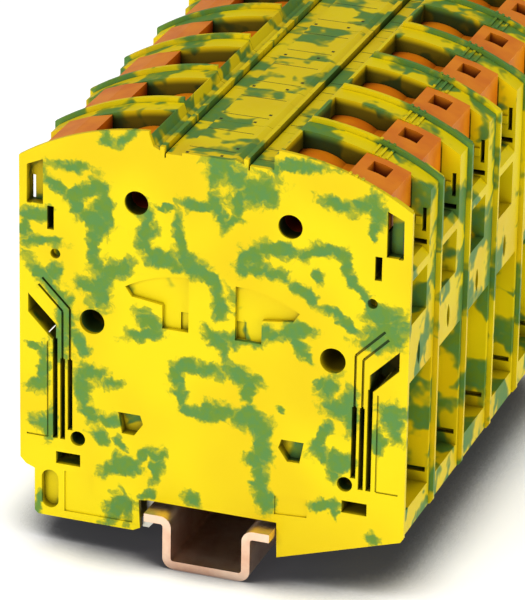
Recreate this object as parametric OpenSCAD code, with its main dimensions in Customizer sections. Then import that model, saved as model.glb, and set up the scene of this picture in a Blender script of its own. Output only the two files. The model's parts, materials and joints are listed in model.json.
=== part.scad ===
// Row of high-current protective-earth terminal blocks on a 35 mm mounting rail.
// +X runs across a block, +Y along the rail away from the front block, +Z up.
// The origin is on the underside of the rail, at the middle of the row.
// A block is drawn with y = 0 on its front face and z = 0 on top of the rail.

/* [Row] */
// Number of blocks on the rail
block_count = 6; // [1:1:6]
// Distance from one block to the next
pitch = 25; // [25:0.1:26]
// How far the rail stands out past the end blocks
rail_overhang = 5; // [2:0.5:40]

/* [Rail] */
// Width of the rail over its two flanges
rail_width = 35; // [34.6:0.1:35.4]
// Height of the rail
rail_height = 15; // [14:0.5:16]
// Outer width of the rail's channel
rail_channel = 24.4; // [23:0.1:25]
// Thickness of the rail's copper strip
rail_sheet = 2.3; // [2:0.1:2.4]
// How far the rail's middle lies to the right of the blocks' middle
rail_shift = 1; // [0.8:0.1:1]

/* [Housing] */
// Half the width of the front flange
flange_half = 53.6; // [53.2:0.1:54]
// Thickness of the front flange
flange_t = 1.2; // [1:0.1:1.4]
// How far the flange stands proud of the body
flange_lip = 1.3; // [1:0.1:1.5]
// Depth of a block along the rail
block_depth = 24.9; // [24.8:0.05:24.95]
// Where the front shell meets the rear shell
shell_split = 18.8; // [18.4:0.1:19]
// Radius of the roof's arc
roof_r = 72.4; // [71:0.1:73]

/* [Lever] */
// Distance of the lever's pivot from the middle of the block
pivot_x = 21; // [20.5:0.1:21.5]
// Height of the lever's pivot above the rail
pivot_z = 85.8; // [85.4:0.1:86]
// Radius of the lever's cam disc
cam_r = 14.4; // [13.8:0.1:14.4]
// Radius of the lever's rear trunnion
trunnion_r = 3.25; // [3:0.05:3.4]
// Radius of the hollow hub behind the front flange that the lever turns on
hub_r = 4.6; // [4.5:0.05:4.8]
// Running clearance of the trunnion and the hub
trunnion_gap = 0.05; // [0.02:0.01:0.08]

/* [Conductor entry] */
// Radius of the bore that takes the conductor
entry_r = 5.9; // [5:0.1:6]
// Height of the entry above the rail
entry_z = 67.4; // [67:0.1:68]
// Distance of the entry's axis from the front face
entry_y = 10; // [9.5:0.1:10.5]

/* [Hidden] */
// Finish of round features
$fn = 96;
// Overlap that lets a cut pass clean through a face
cut = 1;
// Free space between pieces that only lie side by side
gap = 0.15;
// Tops and bottoms of the housing outline
sky_z = 120;
roof_x = 13.8;
roof_z = 33.9;
foot_z = -8.1;
saddle_z = 1.4;
// The rail's flat underside stands this much below its bends, so that it sits on its flat
rail_seat = 0.1;
rail_edge = rail_shift + rail_width / 2;
body_half = flange_half - flange_lip;
pocket_x = 46.9;
mouth_x = 40;
channel_x = 45.7;
channel_back = 23.4;
lever_front = flange_t + 0.2;
lever_back = shell_split - 0.2;
trunnion_end = 21.6;
hub_bore = 3.3;
hub_end = 5.2;
// Wall with an upright slot behind the marker window
marker_wall = [3.3, 4.3];
row_length = (block_count - 1) * pitch + block_depth;
rail_length = row_length + 2 * rail_overhang;
// Back wall of the hollow that takes the rail foot
foot_back = 22;
// Clamp chamber and the metal parts inside it
chamber_front = 2.6;
chamber_in = 8;
chamber_out = 34;
chamber_low = 54;
ledge_z = 58.6;
bar_t = 3;
bar_z = 40;
bar_front = 4.5;
bar_back = 16;
cage_t = 1.2;
spring_t = 1;

block_nodes = ["front_shell", "rear_shell", "lever_left", "lever_right", "current_bar",
    "clamp_cage", "clamp_spring_left", "clamp_spring_right", "rail_foot"];

yellow = [0.96, 0.90, 0.14];
green_yellow = [0.72, 0.80, 0.22];
orange = [0.85, 0.45, 0.10];
copper = [0.80, 0.50, 0.36];
tin = [0.80, 0.80, 0.78];
steel = [0.60, 0.62, 0.64];

// ---- helpers ----

// An outline in x and z, made solid from y0 to y1
module slab(y0, y1) {
    translate([0, y1, 0]) rotate([90, 0, 0]) linear_extrude(y1 - y0) children();
}

// A shape and its mirror image across the middle of the block
module both_sides() {
    children();
    mirror([1, 0, 0]) children();
}

// A box given by its two corners
module box(low, high) {
    translate(low) cube(high - low);
}

// A round bore or peg along y
module along_y(x, z, r, y0, y1) {
    translate([x, y1, z]) rotate([90, 0, 0]) cylinder(h = y1 - y0, r = r);
}

// A straight groove in the front face
module groove(x, z, angle, length, width, depth) {
    translate([x, 0, z]) rotate([0, -angle, 0]) translate([0, -cut, -width / 2])
        cube([length, cut + depth, width]);
}

// Puts a block's piece at its place in the row
module place(k) {
    translate([0, (k - 1) * pitch - row_length / 2, rail_height]) children();
}

// ---- rail ----

// Quarter ring for one bend of the rail
module bend(inner_r, x_side, z_side) {
    outer_r = inner_r + rail_sheet;
    intersection() {
        difference() {
            circle(outer_r);
            circle(inner_r);
        }
        translate([x_side < 0 ? -outer_r : 0, z_side < 0 ? -outer_r : 0]) square(outer_r);
    }
}

module rail_half() {
    inner_r = 0.8;
    outer_r = inner_r + rail_sheet;
    wall = rail_channel / 2;
    low = outer_r + rail_seat;
    square([wall - outer_r, rail_sheet + rail_seat]);
    translate([wall - outer_r, low]) bend(inner_r, 1, -1);
    translate([wall - rail_sheet, low]) square([rail_sheet, rail_height - outer_r - low]);
    translate([wall + inner_r, rail_height - outer_r]) bend(inner_r, -1, 1);
    translate([wall + inner_r, rail_height - rail_sheet])
        square([rail_width / 2 - wall - inner_r, rail_sheet]);
}

module din_rail() {
    color(copper) slab(-rail_length / 2, rail_length / 2) translate([rail_shift, 0]) {
        rail_half();
        mirror([1, 0]) rail_half();
    }
}

// ---- housing ----

// Roof arcs and straight sides, set in by a lip
module roof_outline(lip) {
    half = flange_half - lip;
    intersection() {
        union() {
            translate([roof_x, roof_z]) circle(roof_r - lip);
            translate([-roof_x, roof_z]) circle(roof_r - lip);
            translate([-roof_x, roof_z]) square([2 * roof_x, roof_r - lip]);
        }
        translate([-half, 2 * foot_z]) square([2 * half, sky_z - 2 * foot_z]);
    }
}

// Feet on both sides of the rail: level on the left, rising outwards on the right
module foot_outline() {
    polygon([
        [-flange_half, sky_z], [-flange_half, 7.9], [-52, 6.2], [-49.5, 5.2],
        [-49.5, foot_z + 1], [-48.5, foot_z], [-21.5, foot_z], [-19.5, foot_z + 1],
        [-19.9, 1], [-17.4, saddle_z], [rail_edge + 0.2, saddle_z], [rail_edge + 0.4, foot_z - 0.6],
        [flange_half - 0.8, 1.8], [flange_half, 3], [flange_half, sky_z]
    ]);
}

// Sunken middle of the roof, with two ribs that run from block to block
module roof_valley() {
    edge = 17.6;
    floor_z = 100.8;
    rib_z = 102.5;
    slot_z = 99.6;
    polygon([
        [-edge, sky_z], [-edge, 105.4], [-16.4, 102.2], [-14.6, 101.4], [-14.6, rib_z],
        [-13.4, rib_z], [-13.4, slot_z], [-13, slot_z], [-13, floor_z], [-8.6, floor_z],
        [-8.6, 101.6], [4.2, 101.6], [5.6, 101.9], [8.2, 101], [8.2, rib_z], [9.4, rib_z],
        [9.4, slot_z], [9.8, slot_z], [9.8, floor_z], [16.4, floor_z], [16.4, 104.6],
        [edge, 105.2], [edge, sky_z]
    ]);
}

module housing_outline(lip) {
    difference() {
        intersection() {
            roof_outline(lip);
            foot_outline();
        }
        roof_valley();
    }
}

// Room for one lever, open at the roof and at its outer end
module lever_room() {
    union() {
        translate([pivot_x, pivot_z]) circle(cam_r + 0.4);
        polygon([[17.6, sky_z], [17.6, 98], [34.4, 79.4], [47.3, 88.1], [47.3, sky_z]]);
    }
}

// Marker pocket, conductor mouth and lower pocket in one outer side
module side_pockets() {
    lens_r = 5.4;
    lens_half = 1.2;
    box([pocket_x, marker_wall[1], 77.8], [60, shell_split + cut, sky_z]);
    box([50.2, 0, 81.3], [51.3, marker_wall[1] + cut, 88]);
    box([mouth_x, 2.3, 61.2], [60, 17.7, 73.6]);
    box([channel_x, flange_t, 8.5], [60, shell_split + cut, 45]);
    translate([chamber_out - 4, entry_y, entry_z]) rotate([0, 90, 0]) cylinder(h = 20, r = entry_r);
    translate([body_half, 0, 77.8]) rotate([0, 45, 0]) translate([-1.3, flange_t, -1.3])
        cube([2.6, shell_split, 2.6]);
    translate([47.5, 12.5, 50.8]) rotate([0, 90, 0]) linear_extrude(6) intersection() {
        translate([0, -lens_r + lens_half]) circle(lens_r);
        translate([0, lens_r - lens_half]) circle(lens_r);
    }
}

// Openings and slots that go into one half of the front face
module face_cuts() {
    slab(-cut, marker_wall[0])
        polygon([[51.4, 92.1], [pocket_x, 94.1], [pocket_x, 81.5], [51.5, 81.5]]);
    slab(-cut, 10) polygon([[43.3, 48], [51.2, 55.8], [51.2, 50.4], [44.5, 43.6], [43.3, 43.6]]);
    box([43.9, -cut, 74.7], [45.8, 10, 81.3]);
    box([42.9, -cut, 15], [44.3, 13, 44]);
    box([40.8, -cut, 15], [42.2, 13, 38.4]);
    box([38.7, -cut, 18], [40.1, 13, 38.4]);
    box([36.5, -cut, 7.7], [43.4, 11, 11.2]);
    along_y(43.5, 68.1, 1.4, -cut, 3);
    along_y(33.2, 50.4, 3.5, -cut, 15);
    along_y(37.2, 15.9, 2.1, -cut, 15);
    slab(-cut, 3) polygon([[19.6, 25.7], [25.8, 25.7], [24.7, 19.7], [21.3, 19.6], [18.8, 23.2]]);
}

// Shallow recesses and score lines in one half of the front face
module face_relief() {
    arrow_r = 34;
    rib_groove = 0.9;
    slab(-cut, 1.5) intersection() {
        translate([6.4, 66.9 - arrow_r]) circle(arrow_r);
        polygon([[6.4, 51.7], [13.7, 51.7], [13.7, 58.3], [22.2, 59.4], [24, 62], [24, 70], [6.4, 70]]);
    }
    box([6.4, -cut, 51.7], [9, 2.2, 56.6]);
    groove(41.5, 38, 90, 14, 0.7, rib_groove);
    groove(41.5, 52, 45, 9.5, 0.7, rib_groove);
    groove(39.4, 38, 90, 15, 0.7, rib_groove);
    groove(39.4, 53, 45, 11, 0.7, rib_groove);
    groove(45.7, 15.2, 90, 27.5, 0.5, 0.4);
    groove(45.7, 15.2, 0, 6, 0.5, 0.4);
}

// Marks in the two feet, which differ
module foot_relief() {
    slab(-cut, 2.5) union() {
        translate([-45.1, 3]) circle(2.4);
        translate([-45.1, -3.3]) circle(2.4);
        translate([-47.5, -3.3]) square([4.8, 6.3]);
    }
    slab(-cut, 0.5) difference() {
        translate([-41, -6]) square([19.3, 11.8]);
        translate([-26.8, 6]) circle(5.8);
        translate([-33, 0.3]) square([12, 8]);
    }
    slab(-cut, 0.5) polygon([[18, 9.2], [27, 9.6], [27, 4.3], [18, 3.8]]);
}

// Hollow for the clamps, the current bar, the earth screw and the rail foot
module inner_rooms(back) {
    both_sides() box([chamber_in, chamber_front, chamber_low], [chamber_out, back, 74]);
    both_sides() box([chamber_in, chamber_front, bar_z - 1], [15, back, chamber_low + cut]);
    box([-15, chamber_front, bar_z - 1], [15, back, bar_z + bar_t + 4]);
    box([-6, chamber_front, saddle_z - cut], [6, back, bar_z]);
    box([-22, flange_t + 0.3, -20], [22, back, 4.2]);
}

module front_shell() {
    color(yellow) difference() {
        union() {
            slab(0, flange_t) housing_outline(0);
            slab(flange_t, shell_split) housing_outline(flange_lip);
        }
        both_sides() slab(flange_t, shell_split + cut) lever_room();
        both_sides() side_pockets();
        both_sides() face_cuts();
        both_sides() face_relief();
        foot_relief();
        inner_rooms(shell_split + cut);
        both_sides() along_y(pivot_x, pivot_z, hub_bore, -cut, flange_t + cut);
    }
    color(yellow) both_sides() difference() {
        along_y(pivot_x, pivot_z, hub_r, flange_t - 0.2, hub_end);
        along_y(pivot_x, pivot_z, hub_bore, 0, hub_end + cut);
    }
}

module rear_shell() {
    color(green_yellow) union() {
        difference() {
            slab(shell_split, block_depth) housing_outline(flange_lip);
            both_sides() {
                box([50.2, shell_split - cut, 82], [51.3, shell_split + 3, 88.5]);
                box([pocket_x, shell_split - cut, 78.4], [51.6, shell_split + 3, 79.8]);
                box([channel_x, shell_split - cut, 8.5], [60, channel_back, 45]);
                box([45.9, channel_back - cut, 11.5], [51.6, block_depth + cut, 12.9]);
                along_y(pivot_x, pivot_z, trunnion_r + trunnion_gap, shell_split - cut, trunnion_end + 0.4);
            }
            box([-22, shell_split - cut, -20], [22, foot_back, 4.2]);
        }
        both_sides() box([48.6, shell_split - 0.6, 83.9], [50, shell_split + cut, 86.1]);
    }
}

// ---- lever ----

module lever_outline() {
    union() {
        translate([pivot_x, pivot_z]) circle(cam_r);
        polygon([
            [pivot_x, 97.9], [31.1, 97.4], [34.9, 97.4], [34.9, 101.4],
            [40.9, 100], [pocket_x, 97.7], [pocket_x, 88.6], [34, 80]
        ]);
    }
}

// Right-hand lever: cam disc, arm, bore for the hub, rear trunnion and, if asked for, a screwdriver recess
module lever(socket) {
    color(orange) difference() {
        union() {
            slab(lever_front, lever_back) lever_outline();
            along_y(pivot_x, pivot_z, trunnion_r, lever_back - cut, trunnion_end);
        }
        if (socket) box([37.9, 9.5, 92.5], [43.1, 15.5, sky_z]);
        along_y(pivot_x, pivot_z, hub_r + trunnion_gap, 0, hub_end + 0.2);
        along_y(pivot_x, pivot_z, hub_bore, 0, 15);
        box([pivot_x - 8, lever_front + 3, 60], [pivot_x + 4, lever_back - 3, 76.5]);
    }
}

// ---- clamp and earth path ----

// Copper bar that joins the two clamps and the foot
module current_bar() {
    color(tin) difference() {
        slab(bar_front, bar_back) union() {
            translate([-13, bar_z]) square([26, bar_t]);
            translate([10, bar_z]) square([bar_t, ledge_z - bar_z]);
            translate([-13, bar_z]) square([bar_t, ledge_z - bar_z]);
            translate([10, ledge_z - bar_t]) square([23.5, bar_t]);
            translate([-33.5, ledge_z - bar_t]) square([23.5, bar_t]);
        }
        translate([0, entry_y, bar_z - cut]) cylinder(h = bar_t + 2 * cut, r = 2.2);
    }
}

// Steel channels that back the springs, one under each clamp
module clamp_cage() {
    low = ledge_z - bar_t - cage_t - 2 * gap;
    color(steel) both_sides() difference() {
        box([14, bar_front - cage_t - gap, low], [33.5, bar_back + cage_t + gap, 70.6]);
        box([14 - cut, bar_front - gap, low + cage_t], [33.5 + cut, bar_back + gap, 71]);
    }
}

// Bent leaf spring: a loop with a long leg that bears on the conductor
module clamp_spring() {
    loop_r = 4;
    color(steel) slab(bar_front + 0.5, bar_back - 0.5) union() {
        translate([18.5, 65.8]) difference() {
            circle(loop_r);
            circle(loop_r - spring_t);
            translate([0, -loop_r - cut]) square(2 * (loop_r + cut));
        }
        translate([18.3, 65.8 + loop_r - spring_t]) square([13, spring_t]);
        translate([18.3, 65.8 - loop_r]) rotate(-9) square([14, spring_t]);
    }
}

// Metal foot that grips the rail and carries the earth current up to the bar
module rail_foot() {
    front = flange_t + 0.5;
    back = foot_back - 0.2;
    color(tin) difference() {
        union() {
            slab(front, back) polygon([
                [-19.3, -7.4], [-17.6, -7.4], [-14.6, -3.9], [-14, -3.9], [-14, -2.5],
                [-16.7, -2.5], [-19.3, -4.6]
            ]);
            slab(front + 3, back) polygon([
                [-19.3, 1.3], [-19.3, -5], [-16.7, -2.6], [-16.7, 0.1], [18.7, 0.1],
                [18.7, -2.5], [15.8, -2.5], [15.8, -4.2], [20.4, -4.2], [20.4, 1.3]
            ]);
            box([-4.5, 5.5, 1], [4.5, 14.5, bar_z - gap]);
        }
        translate([0, entry_y, 22]) cylinder(h = 30, r = 1.7);
    }
}

// Screws that clamp the bars to the feet, one in each block
module earth_screws() {
    color(steel) for (k = [1:block_count]) place(k) translate([0, entry_y, 0]) {
        difference() {
            union() {
                translate([0, 0, 23]) cylinder(h = 20, r = 1.6);
                translate([0, 0, bar_z + bar_t + 0.05]) cylinder(h = 2.6, r = 3.6);
            }
            translate([-0.5, -5, bar_z + bar_t + 1.5]) cube([1, 10, 5]);
        }
    }
}

// ---- assembly ----

din_rail();
earth_screws();
for (k = [1:block_count]) {
    place(k) front_shell();
    place(k) rear_shell();
    place(k) lever(socket = true);
    place(k) mirror([1, 0, 0]) lever(socket = false);
    place(k) current_bar();
    place(k) clamp_cage();
    place(k) clamp_spring();
    place(k) mirror([1, 0, 0]) clamp_spring();
    place(k) rail_foot();
}
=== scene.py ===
"""Looks, light and camera for a row of earth terminal blocks on a copper rail.

The row frame is in metres: +X across a block, +Y along the rail away from the camera, +Z up, floor at z = 0.
"""
import json
import math

import bpy
from mathutils import Matrix, Vector


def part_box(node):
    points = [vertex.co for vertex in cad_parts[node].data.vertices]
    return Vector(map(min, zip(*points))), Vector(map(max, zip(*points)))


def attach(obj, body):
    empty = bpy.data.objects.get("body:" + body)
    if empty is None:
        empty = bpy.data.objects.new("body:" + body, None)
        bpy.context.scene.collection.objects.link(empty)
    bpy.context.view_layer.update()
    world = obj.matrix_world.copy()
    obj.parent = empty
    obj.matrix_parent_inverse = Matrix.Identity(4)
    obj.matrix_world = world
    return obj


MM = 0.001
BLOCKS = 6

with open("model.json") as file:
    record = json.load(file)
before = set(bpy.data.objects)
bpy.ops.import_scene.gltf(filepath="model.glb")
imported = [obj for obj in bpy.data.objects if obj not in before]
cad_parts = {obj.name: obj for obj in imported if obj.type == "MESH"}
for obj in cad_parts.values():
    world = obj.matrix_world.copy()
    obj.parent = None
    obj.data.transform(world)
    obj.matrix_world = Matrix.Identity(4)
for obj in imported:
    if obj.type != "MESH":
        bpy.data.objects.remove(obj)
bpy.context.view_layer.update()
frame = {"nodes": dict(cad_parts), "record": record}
nodes = frame["nodes"]

ROW_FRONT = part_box("front_shell_1")[0].y
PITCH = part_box("front_shell_2")[0].y - ROW_FRONT
RAIL_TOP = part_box("din_rail")[1].z

# The right-hand roof arc, in millimetres: its middle as x and height above the rail, its radius on the
# front flange and on the body behind it
ROOF_MIDDLE = Vector((13.8, 33.9))
FLANGE_R = 72.4
BODY_R = 71.1

# How far behind the first block's front plane the placed veins reach
VEIN_DEPTH = 1.25

# Where the lever rooms lie, whose walls get painted shade: behind each block's front plane, across from the
# middle and above the rail
ROOM_Y = (0.6, 19.0)
ROOM_X = (17.5, 47.2)
ROOM_Z = 76.0

# Tops of the roof panel and of the channel beside it, above the rail
PANEL_TOP = 101.6
CHANNEL_TOP = 100.8

# ---- node graphs ----


class Graph:
    """A material's node graph, with short calls for the few kinds of node that the finishes use."""

    def __init__(self, name, roughness, metallic=0.0, specular=0.5):
        self.material = bpy.data.materials.new(name)
        self.material.use_nodes = True
        self.tree = self.material.node_tree
        self.shader = self.tree.nodes["Principled BSDF"]
        self.shader.inputs["Roughness"].default_value = roughness
        self.shader.inputs["Metallic"].default_value = metallic
        self.shader.inputs["Specular IOR Level"].default_value = specular

    def node(self, kind, **settings):
        made = self.tree.nodes.new(kind)
        for key, value in settings.items():
            setattr(made, key, value)
        return made

    def feed(self, socket, value):
        """Links a node's output to a socket, or sets the socket to a plain value."""
        if isinstance(value, bpy.types.NodeSocket):
            self.tree.links.new(value, socket)
        else:
            socket.default_value = value

    def math(self, operation, a, b=0.0, c=0.0):
        made = self.node("ShaderNodeMath", operation=operation)
        for socket, value in zip(made.inputs, (a, b, c)):
            self.feed(socket, value)
        return made.outputs[0]

    def vector(self, operation, a, b=(0, 0, 0)):
        made = self.node("ShaderNodeVectorMath", operation=operation)
        self.feed(made.inputs[0], a)
        self.feed(made.inputs[1], b)
        return made.outputs["Value" if operation == "LENGTH" else "Vector"]

    def place(self):
        """Position on the object at rest, in millimetres."""
        where = self.node("ShaderNodeTexCoord").outputs["Object"]
        return self.vector("MULTIPLY", where, (1 / MM, 1 / MM, 1 / MM))

    def noise(self, where, size, detail=3.0, roughness=0.5, distortion=0.0):
        """Cloudy noise from 0 to 1 with features about size millimetres across."""
        made = self.node("ShaderNodeTexNoise")
        self.feed(made.inputs["Vector"], where)
        made.inputs["Scale"].default_value = 1 / size
        made.inputs["Detail"].default_value = detail
        made.inputs["Roughness"].default_value = roughness
        made.inputs["Distortion"].default_value = distortion
        return made

    def ramp(self, value, low, high, out_low=0.0, out_high=1.0):
        """Soft step of a value between low and high."""
        made = self.node("ShaderNodeMapRange", interpolation_type="SMOOTHSTEP")
        self.feed(made.inputs["Value"], value)
        for key, limit in (("From Min", low), ("From Max", high), ("To Min", out_low), ("To Max", out_high)):
            made.inputs[key].default_value = limit
        return made.outputs["Result"]

    def mix(self, factor, a, b, blend="MIX"):
        made = self.node("ShaderNodeMix", data_type="RGBA", blend_type=blend)
        self.feed(made.inputs[0], factor)
        self.feed(made.inputs[6], a)
        self.feed(made.inputs[7], b)
        return made.outputs[2]

    def openness(self, reach, low, high):
        """Ambient occlusion for painted shade and shadow: 0 in holes, slots and pockets, rising to 1 in the
        open, felt over about reach millimetres.
        """
        hollow = self.node("ShaderNodeAmbientOcclusion", samples=16)
        hollow.inputs["Distance"].default_value = reach * MM
        return self.ramp(hollow.outputs["AO"], low, high)

    def shaded(self, colour, shade_tone, reach=14.0):
        """Painted shade: the colour turning to a deep shade tone in holes, slots and pockets, by ambient
        occlusion.
        """
        return self.mix(self.openness(reach, 0.12, 0.7), shade_tone, colour)

    def finish(self, colour, bump=None, height=0.05, roughness=None):
        self.feed(self.shader.inputs["Base Color"], colour)
        if roughness is not None:
            self.feed(self.shader.inputs["Roughness"], roughness)
        if bump is not None:
            made = self.node("ShaderNodeBump")
            made.inputs["Distance"].default_value = height * MM
            self.feed(made.inputs["Height"], bump)
            self.feed(self.shader.inputs["Normal"], made.outputs["Normal"])
        return self.material


def srgb(red, green, blue):
    """A colour given as 0 to 255 on screen, as the linear value that a shader takes."""
    linear = [((c / 255 + 0.055) / 1.055) ** 2.4 if c > 10 else c / 255 / 12.92 for c in (red, green, blue)]
    return (*linear, 1.0)


# ---- marbled plastic ----

YELLOW = srgb(244, 222, 0)
YELLOW_DEEP = srgb(236, 206, 0)
GREEN = srgb(106, 144, 46)
GREEN_BLUE = srgb(92, 142, 70)
OLIVE = srgb(168, 172, 30)
# Deep olive used for painted shade in hollows and in the lever rooms
SHADE_OLIVE = srgb(26, 30, 8)

# Green veins on the front face of the first block: middle x and z above the rail's top, half length
# and half width in millimetres, and tilt in degrees. They are listed one by one.
FRONT_VEINS = (
    # left shoulder
    (-29, 102, 3, 1.6, -40), (-24, 103, 4.5, 1.4, 45), (-39, 93, 5, 1.6, 0), (-43, 87, 5, 1.5, -40),
    (-38, 86, 4, 2, 20), (-33, 88, 5, 2, 25), (-30, 84, 7, 2, -85), (-33, 80, 5, 2.5, -25),
    (-38, 83, 3.5, 2, -80), (-31, 77, 3, 2, 40), (-33, 71, 6, 1.6, 90), (-27, 66, 6.5, 2.4, 30),
    (-31, 61, 7, 2.8, 85), (-34, 60, 4, 2, -15),
    # left edge
    (-50, 79, 4.5, 1.8, 10), (-52, 74, 3.5, 1.2, 90), (-47, 71, 6, 1.5, 5), (-44, 63, 3, 2, 30),
    (-46, 60, 9, 2, -45), (-41, 50, 8, 2, 90), (-49, 41, 3.5, 0.9, 0), (-47, 35, 7, 1.7, 85),
    (-49, 30, 4, 2, 10), (-47, 19, 4, 2.6, -20), (-45, 19, 5, 1.6, 85), (-42, 42, 6, 2, -85),
    (-37, 44, 4, 2, -60),
    # top middle
    (-18, 78, 7, 1.9, 90), (-18, 73, 4, 2.4, -65), (-13, 71, 6, 2, -10), (-13, 86, 4, 0.6, -5),
    (-4, 88, 7, 1.4, 5), (-9, 80, 7, 1.4, -85), (-5, 71, 6, 2.4, -30), (0, 67, 3.5, 1.3, -45),
    (0, 100, 5.5, 2.5, -85), (-17, 53, 4, 2.4, -45), (3, 100, 7, 3.5, -45), (6, 96, 5, 3, -45),
    (11, 94, 7, 3.5, 10), (15, 94, 4.5, 2, 90), (7, 90, 5, 2, 85), (1, 89, 3.5, 1.8, -85),
    (3, 85, 4, 1.4, -60), (5, 84, 3.5, 1.2, 60),
    # right shoulder
    (23, 103, 8.5, 1.5, 0), (17, 101, 3, 1.6, -50), (33, 94, 5.5, 1.8, -15), (40, 95, 5.5, 2, 15),
    (44, 93, 5, 2.2, -80), (44, 88, 3, 1.2, 85), (10, 76, 5, 2.4, 55), (8, 72, 3, 1.6, 70),
    (19, 79, 7.5, 1.7, 0), (28, 80, 5.5, 2, 25), (34, 81, 3, 1.6, -10), (36, 78, 3.5, 1.4, -85),
    (39, 73, 5.5, 1.2, -50), (42, 68, 3, 1.1, -65), (13, 73, 4, 2, 5), (18, 72, 5, 1.8, -10),
    (25, 68, 6, 1.6, -35), (32, 64, 5, 1.4, -20), (38, 60, 4, 1.1, -40), (29, 73, 2.5, 1.4, -80),
    (47, 65, 5.5, 2.4, 15), (48, 61, 6.5, 3.5, 10), (46, 57, 6, 2.6, 5),
    # middle, with the curl
    (1, 66, 5, 1.1, -80), (2, 60, 3, 2, 90), (24, 58, 4.5, 2, -5), (16, 55, 4, 2, -15),
    (9, 60, 6, 2.4, -55), (3, 49, 4, 1.5, -70), (11, 53, 9, 2, 15), (21, 56, 5.5, 2, 20),
    (24, 53, 3.5, 1.5, -65), (26, 50, 2.7, 1, -40), (-19, 49, 5.5, 1.6, 10), (-10, 38, 4, 2, 85),
    (-7, 42, 4, 1.7, 35), (-1, 42, 6, 2.3, 0), (-9, 34, 4, 1.4, -70), (-6, 30, 3.5, 1.6, -25),
    (-1, 29, 5, 1.8, 5), (-1, 31, 3, 1.6, -80), (1, 51, 3.7, 2, -55), (8, 42, 5.5, 2.2, -15),
    (10, 38, 4.5, 1.7, 80), (4, 31, 5, 2, 0), (10, 30, 6, 3, -15), (14, 27, 5, 3, -50),
    (15, 23, 5, 2.8, 75), (12, 19, 4, 1.7, 5), (14, 13, 7, 2, 90), (15, 7, 4, 2.2, -80),
    # lower left and its foot
    (-34, 36, 5, 2.4, 0), (-27, 34, 3.5, 1.4, 10), (-36, 29, 5, 2, -85), (-34, 24, 4, 2, -40),
    (-29, 23, 5, 1.8, 5), (-31, 18, 2.6, 2, -60), (-25, 16, 2, 1.2, -65), (-25, 10, 6.5, 2.4, 20),
    (-19, 14, 5, 1.6, 40), (-15, 15, 3, 1.2, -25), (-15, 11, 5, 1.4, 70), (-27, -3, 5.5, 2.4, 60),
    (-23, -2, 4, 2, 80), (-18, 3, 3, 1, 30), (-48, -5, 3.5, 1.2, 90), (-5, 4, 2.3, 2, 0),
    # lower right
    (32, 42, 5.5, 2.2, 70), (35, 37, 5, 2.5, -20), (38, 37, 6, 2.5, -80), (30, 28, 5, 1.7, 60),
    (31, 23, 4, 1.7, -35), (36, 22, 5, 2.5, 5), (34, 18, 2.3, 1.5, -60), (30, 44, 2.5, 1.3, 40),
    (50, 39, 4.5, 2.5, 0), (50, 35, 5, 2.5, -65), (46, 30, 4.5, 1.5, 90), (32, 9, 4, 1.5, 5),
    (34, 7, 2.3, 1, -80), (45, 2, 1.9, 1.9, 0), (19, 34, 1.2, 1, 0),
)


def cloudy_mask(g, where):
    """Green share of the plastic away from the placed veins: blots and thin veins, new in each block."""
    split = g.node("ShaderNodeSeparateXYZ")
    g.feed(split.inputs[0], where)
    from_front = g.math("ADD", split.outputs["Y"], -ROW_FRONT / MM + 0.05)
    block = g.math("FLOOR", g.math("DIVIDE", from_front, PITCH / MM))
    shift = g.node("ShaderNodeCombineXYZ")
    for socket, step in zip(shift.inputs, (41.0, 67.0, 97.0)):
        g.feed(socket, g.math("MULTIPLY", block, step))
    where = g.vector("ADD", where, shift.outputs[0])
    blots = g.noise(where, 13.0, detail=3.0, roughness=0.5).outputs["Fac"]
    veins = g.noise(g.vector("ADD", where, (300, 0, 0)), 16.0, detail=2.0, roughness=0.5).outputs["Fac"]
    off_centre = g.math("ABSOLUTE", g.math("SUBTRACT", veins, 0.5))
    near_vein = g.ramp(off_centre, 0.0, 0.07, 0.08, 0.0)
    return g.ramp(g.math("ADD", blots, near_vein), 0.49, 0.61)


def placed_mask(g, where):
    """Green share of the first block's front face, from the listed veins with ragged edges."""
    ragged = g.noise(where, 4.5, detail=3.0, roughness=0.6).outputs["Color"]
    push = g.vector("MULTIPLY", g.vector("SUBTRACT", ragged, (0.5, 0.5, 0.5)), (6.0, 0.0, 6.0))
    where = g.vector("ADD", where, push)
    nearest = g.math("ADD", 9.0)
    for x, z, half_length, half_width, tilt in FRONT_VEINS:
        # A share of the last result, too small to move anything, makes Cycles work the veins out one by one.
        step = g.node("ShaderNodeVectorMath", operation="MULTIPLY_ADD")
        for socket, value in zip(step.inputs, (nearest, (1e-7, 1e-7, 1e-7), where)):
            g.feed(socket, value)
        place = g.node("ShaderNodeMapping", vector_type="TEXTURE")
        g.feed(place.inputs["Vector"], step.outputs["Vector"])
        place.inputs["Location"].default_value = (x, 0.0, RAIL_TOP / MM + z)
        place.inputs["Rotation"].default_value = (0.0, -math.radians(tilt), 0.0)
        place.inputs["Scale"].default_value = (half_length * 1.1, 1e6, half_width * 1.2)
        nearest = g.math("MINIMUM", nearest, g.vector("LENGTH", place.outputs[0]))
    blotch = g.noise(where, 3.2, detail=3.0, roughness=0.6).outputs["Fac"]
    return g.ramp(g.math("ADD", nearest, g.math("MULTIPLY", blotch, 1.9)), 1.35, 2.35, 1.0, 0.0)


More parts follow.
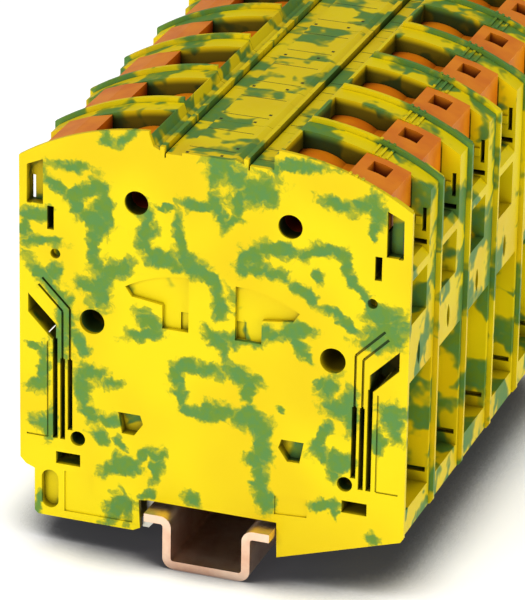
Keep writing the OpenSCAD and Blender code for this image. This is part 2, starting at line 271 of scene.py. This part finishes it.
def lever_room_shade_mask(g, where):
    """Painted shade mask: 1 on the walls of the lever rooms a few millimetres under the roof's arc, 0
    elsewhere.
    """
    split = g.node("ShaderNodeSeparateXYZ")
    g.feed(split.inputs[0], where)
    across = g.math("ABSOLUTE", split.outputs["X"])
    height = g.math("SUBTRACT", split.outputs["Z"], RAIL_TOP / MM)
    reach_x = g.math("POWER", g.math("SUBTRACT", across, ROOF_MIDDLE.x), 2.0)
    reach_z = g.math("POWER", g.math("SUBTRACT", height, ROOF_MIDDLE.y), 2.0)
    depth = g.math("SUBTRACT", FLANGE_R, g.math("SQRT", g.math("ADD", reach_x, reach_z)))
    from_front = g.math("SUBTRACT", split.outputs["Y"], ROW_FRONT / MM)
    in_block = g.math("FLOORED_MODULO", from_front, PITCH / MM)
    inside = g.math("GREATER_THAN", in_block, ROOM_Y[0])
    for test, value, limit in (("LESS_THAN", in_block, ROOM_Y[1]), ("GREATER_THAN", across, ROOM_X[0]),
                               ("LESS_THAN", across, ROOM_X[1]), ("GREATER_THAN", height, ROOM_Z)):
        inside = g.math("MULTIPLY", inside, g.math(test, value, limit))
    return g.math("MULTIPLY", inside, g.ramp(depth, 1.2, 3.4))


def marbled_plastic(name, first_front=False):
    g = Graph(name, roughness=0.48, specular=0.18)
    where = g.place()
    mask = cloudy_mask(g, where)
    if first_front:
        depth = g.node("ShaderNodeSeparateXYZ")
        g.feed(depth.inputs[0], where)
        on_front = g.math("LESS_THAN", depth.outputs["Y"], ROW_FRONT / MM + VEIN_DEPTH)
        placed = placed_mask(g, where)
        mask = g.math("ADD", g.math("MULTIPLY", placed, on_front),
                      g.math("MULTIPLY", mask, g.math("SUBTRACT", 1.0, on_front)))
    fine = g.noise(where, 2.4, detail=3.0, roughness=0.6).outputs["Fac"]
    broad = g.noise(where, 30.0, detail=1.0).outputs["Fac"]
    yellow = g.mix(g.ramp(broad, 0.35, 0.7), YELLOW, YELLOW_DEEP)
    green = g.mix(g.ramp(fine, 0.35, 0.65), GREEN, GREEN_BLUE)
    edge = g.ramp(mask, 0.0, 0.55)
    core = g.ramp(mask, 0.35, 1.0)
    colour = g.mix(core, g.mix(edge, yellow, OLIVE), green)
    # Painted shade: darker olive in holes, slots and pockets, by ambient occlusion
    colour = g.shaded(colour, g.mix(0.85, colour, SHADE_OLIVE))
    # Painted shade: the lever rooms' walls turn dark below the roof's arc, by their place on the block
    colour = g.mix(g.math("MULTIPLY", lever_room_shade_mask(g, where), 0.85), colour, SHADE_OLIVE)
    grain = g.noise(where, 0.5, detail=2.0).outputs["Fac"]
    rough = g.ramp(fine, 0.2, 0.8, 0.44, 0.54)
    return g.finish(colour, bump=grain, height=0.02, roughness=rough)


# ---- other finishes ----


def orange_plastic():
    g = Graph("orange_plastic", roughness=0.45, specular=0.3)
    where = g.place()
    cloud = g.noise(where, 9.0, detail=3.0).outputs["Fac"]
    colour = g.mix(g.ramp(cloud, 0.3, 0.7), srgb(246, 144, 4), srgb(230, 120, 4))
    # Painted shade: deep red-brown in holes, slots and pockets, by ambient occlusion
    colour = g.shaded(colour, srgb(104, 30, 4), 12.0)
    return g.finish(colour, bump=g.noise(where, 0.5).outputs["Fac"], height=0.02)


def rolled_metal(name, light, dark, roughness, stretch):
    """Metal with fine rolling lines along one axis and slight stains."""
    g = Graph(name, roughness=roughness, metallic=1.0)
    where = g.place()
    lines = g.noise(g.vector("MULTIPLY", where, stretch), 0.35, detail=2.0).outputs["Fac"]
    stain = g.noise(where, 12.0, detail=4.0, roughness=0.6).outputs["Fac"]
    colour = g.mix(g.ramp(stain, 0.35, 0.7), light, dark)
    rough = g.ramp(lines, 0.2, 0.8, roughness - 0.07, roughness + 0.08)
    return g.finish(colour, bump=lines, height=0.01, roughness=rough)


# Dark olive for the pin marks, painted shade standing in for small pits, and for the seams' dark joint lines
def pit_shade_and_seam():
    g = Graph("pit_shade_and_seam", roughness=0.7)
    where = g.place()
    colour = g.mix(g.noise(where, 1.0).outputs["Fac"], srgb(60, 56, 14), srgb(34, 34, 12))
    return g.finish(colour)


MARBLED = marbled_plastic("marbled_plastic")
MARBLED_FRONT = marbled_plastic("marbled_plastic_front", first_front=True)
FINISHES = {
    "orange_plastic": orange_plastic(),
    "yellow_green_plastic": MARBLED,
}
for metal, light, dark, roughness, stretch in (
    ("copper", srgb(242, 212, 190), srgb(220, 176, 152), 0.36, (1.0, 0.04, 1.0)),
    ("tinned_copper", srgb(214, 214, 208), srgb(188, 188, 182), 0.34, (1.0, 0.1, 1.0)),
    ("spring_steel", srgb(186, 190, 196), srgb(160, 162, 168), 0.28, (0.1, 1.0, 1.0)),
    ("zinc_steel", srgb(196, 200, 206), srgb(170, 174, 180), 0.38, (1.0, 1.0, 0.1)),
):
    FINISHES[metal] = rolled_metal(metal, light, dark, roughness, stretch)
PIT_SHADE_AND_SEAM = pit_shade_and_seam()


def paint(piece, material):
    piece.data.materials.clear()
    piece.data.materials.append(material)


for part in frame["record"]["subparts"]:
    paint(nodes[part["node"]], FINISHES[part["material_slot"]])
paint(nodes["front_shell_1"], MARBLED_FRONT)


# ---- small roof details, riding on the row ----

RIB_TICKS_X = (36.5, 38.2, 39.9)


def boxes(name, corners, material):
    """One piece made of boxes, each given by its lowest and highest corner and a tilt about +Y in degrees."""
    points, faces = [], []
    for low, high, tilt in corners:
        low, high = Vector(low), Vector(high)
        middle = (low + high) / 2
        turn = Matrix.Rotation(math.radians(tilt), 3, "Y")
        start = len(points)
        for n in range(8):
            corner = Vector([(low, high)[n >> axis & 1][axis] for axis in range(3)])
            points.append((middle + turn @ (corner - middle)) * MM)
        sides = ((0, 2, 3, 1), (4, 5, 7, 6), (0, 1, 5, 4), (2, 6, 7, 3), (0, 4, 6, 2), (1, 3, 7, 5))
        faces += [tuple(start + i for i in side) for side in sides]
    mesh = bpy.data.meshes.new(name)
    mesh.from_pydata(points, [], faces)
    piece = bpy.data.objects.new(name, mesh)
    bpy.context.scene.collection.objects.link(piece)
    paint(piece, material)
    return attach(piece, "row")


def roof_details(k):
    """Ticks beside the right-hand lever, pin marks on the roof panel and the seams across it, in block k. The
    pin marks are flat dark boxes, painted shade where small pits would be; the seams are dark joint lines.
    """
    front = (ROW_FRONT + (k - 1) * PITCH) / MM
    top = RAIL_TOP / MM
    ticks = []
    for y0, y1, radius in ((0.1, 1.1, FLANGE_R), (19.0, 24.7, BODY_R)):
        for x in RIB_TICKS_X:
            along = x - ROOF_MIDDLE.x
            z = ROOF_MIDDLE.y + math.sqrt(radius ** 2 - along ** 2)
            tilt = math.degrees(math.asin(along / radius))
            low = (x - 0.35, front + y0, top + z - 0.3)
            high = (x + 0.35, front + y1, top + z + 0.45)
            ticks.append((low, high, tilt))
    boxes(f"ticks_{k}", ticks, MARBLED)
    panel = top + PANEL_TOP
    pins = [((x - 0.4, front + y - 0.5, panel - 0.2), (x + 0.4, front + y + 0.5, panel + 0.02), 0)
            for x, y in ((1.5, 1.9), (3.6, 8.0), (-7.6, 1.2))]
    seams = [((-8.5, front + y, panel - 0.2), (4.1, front + y + 0.25, panel + 0.02), 0) for y in (5.2, 18.8)]
    channel = top + CHANNEL_TOP
    seams += [((10.1, front + y, channel - 0.2), (16.3, front + y + 0.25, channel + 0.02), 0)
              for y in (5.2, 12.5)]
    # Pin marks as painted shade of small pits, and seams as dark joint lines
    boxes(f"roof_marks_{k}", pins + seams, PIT_SHADE_AND_SEAM)


for block in range(1, BLOCKS + 1):
    roof_details(block)


# ---- camera ----

AZIMUTH = math.radians(19.37)
ELEVATION = math.radians(23.83)
ROLL = math.radians(0.99)
DISTANCE = 1229.9 * MM
TARGET = Vector((13.23, -74.95, 79.48)) * MM
LENS = 287.5
SENSOR = 36.0


def add_camera():
    data = bpy.data.cameras.new("camera")
    data.lens = LENS
    data.sensor_width = SENSOR
    data.shift_x = 0.0035
    data.shift_y = -0.0015
    data.clip_start = 0.05
    data.clip_end = 20.0
    camera = bpy.data.objects.new("camera", data)
    bpy.context.scene.collection.objects.link(camera)
    back = Vector((math.sin(AZIMUTH) * math.cos(ELEVATION), -math.cos(AZIMUTH) * math.cos(ELEVATION),
                   math.sin(ELEVATION)))
    right = Vector((math.cos(AZIMUTH), math.sin(AZIMUTH), 0))
    up = back.cross(right)
    across = right * math.cos(ROLL) + up * math.sin(ROLL)
    upward = up * math.cos(ROLL) - right * math.sin(ROLL)
    facing = Matrix((across, upward, back)).transposed().to_4x4()
    camera.matrix_world = Matrix.Translation(TARGET + back * DISTANCE) @ facing
    bpy.context.scene.camera = camera


# ---- floor and light ----


def add_floor():
    bpy.ops.mesh.primitive_plane_add(size=12, location=(0, 0, 0))
    floor = bpy.context.object
    floor.name = "floor"
    g = Graph("floor", roughness=0.9, specular=0.1)
    tone = g.noise(g.place(), 400.0, detail=1.0).outputs["Fac"]
    white = g.mix(tone, (0.93, 0.93, 0.94, 1), (0.95, 0.95, 0.95, 1))
    # Painted shadow: the floor's colour and its glow turn dark near the row, by ambient occlusion
    colour = g.mix(g.openness(26.0, 0.42, 0.93), (0.05, 0.05, 0.055, 1), white)
    g.feed(g.shader.inputs["Emission Color"], colour)
    g.shader.inputs["Emission Strength"].default_value = 0.55
    floor.data.materials.append(g.finish(colour))


def add_area(name, place, aim, size, power, colour=(1, 1, 1)):
    data = bpy.data.lights.new(name, "AREA")
    data.shape = "DISK"
    data.size = size
    data.energy = power
    data.color = colour
    lamp = bpy.data.objects.new(name, data)
    bpy.context.scene.collection.objects.link(lamp)
    lamp.location = place
    lamp.rotation_mode = "QUATERNION"
    lamp.rotation_quaternion = (Vector(aim) - Vector(place)).to_track_quat("-Z", "Y")


def add_light():
    bpy.context.scene.view_settings.view_transform = "Standard"
    world = bpy.data.worlds.new("studio")
    bpy.context.scene.world = world
    world.use_nodes = True
    background = world.node_tree.nodes["Background"]
    background.inputs["Color"].default_value = (1.0, 0.98, 0.95, 1)
    background.inputs["Strength"].default_value = 0.34
    middle = (0.0, 0.0, 0.06)
    add_area("key", (-0.45, -1.7, 0.8), middle, 0.8, 11.5, (1.0, 0.98, 0.95))
    add_area("top", (-0.2, -0.3, 1.6), middle, 0.8, 6.5, (1.0, 0.96, 0.9))
    add_area("side", (1.6, -0.7, 0.6), middle, 0.8, 5, (1.0, 0.98, 0.95))


add_floor()
add_camera()
add_light()
